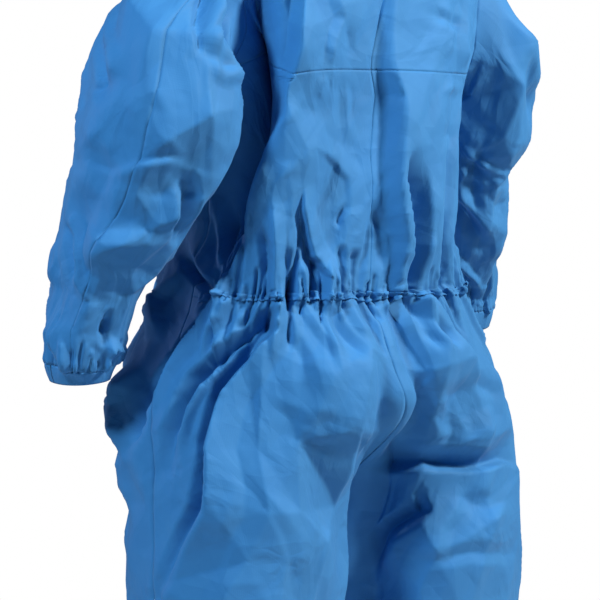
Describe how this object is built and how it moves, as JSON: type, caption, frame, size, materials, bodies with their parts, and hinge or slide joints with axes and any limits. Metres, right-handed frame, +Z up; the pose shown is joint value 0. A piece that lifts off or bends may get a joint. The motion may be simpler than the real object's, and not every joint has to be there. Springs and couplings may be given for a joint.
{
  "type": "chemical protective coverall",
  "caption": "Blue non-woven protective coverall in worn form, with a yoke seam, an elastic waist across the back, elastic cuffs and ankles, a stand collar and a front zip.",
  "frame": {"origin": "on the wearer's axis, level with the shoulder points", "axes": "+Z up, the wearer faces -Y and the left hand is at +X"},
  "size_m": [0.7348, 0.3818, 1.5372],
  "materials": {
    "nonwoven_blue": "matt blue non-woven with a fine embossed grain",
    "nonwoven_blue_hem": "the same non-woven, doubled and gathered over elastic",
    "zip_blue": "blue moulded nylon"
  },
  "bodies": {
    "coverall": {"yoke_back_left": "nonwoven_blue", "back_left": "nonwoven_blue", "leg_back_left": "nonwoven_blue", "front_left": "nonwoven_blue", "sleeve_back_left": "nonwoven_blue", "sleeve_front_left": "nonwoven_blue", "yoke_back_right": "nonwoven_blue", "back_right": "nonwoven_blue", "leg_back_right": "nonwoven_blue", "front_right": "nonwoven_blue", "sleeve_back_right": "nonwoven_blue", "sleeve_front_right": "nonwoven_blue", "collar": "nonwoven_blue", "ankle_hem_left": "nonwoven_blue_hem", "cuff_left": "nonwoven_blue_hem", "ankle_hem_right": "nonwoven_blue_hem", "cuff_right": "nonwoven_blue_hem", "waist_elastic": "nonwoven_blue_hem", "zip_chain": "zip_blue", "zip_slider": "zip_blue"},
    "pull_tab": {"zip_pull_tab": "zip_blue"}
  },
  "joints": [
    {"name": "pull_tab_hinge", "type": "hinge", "parent": "coverall", "child": "pull_tab", "pos_m": [0, -0.06887, 0.0034], "axis": [1, 0, 0], "range_deg": [-150, 0]}
  ]
}
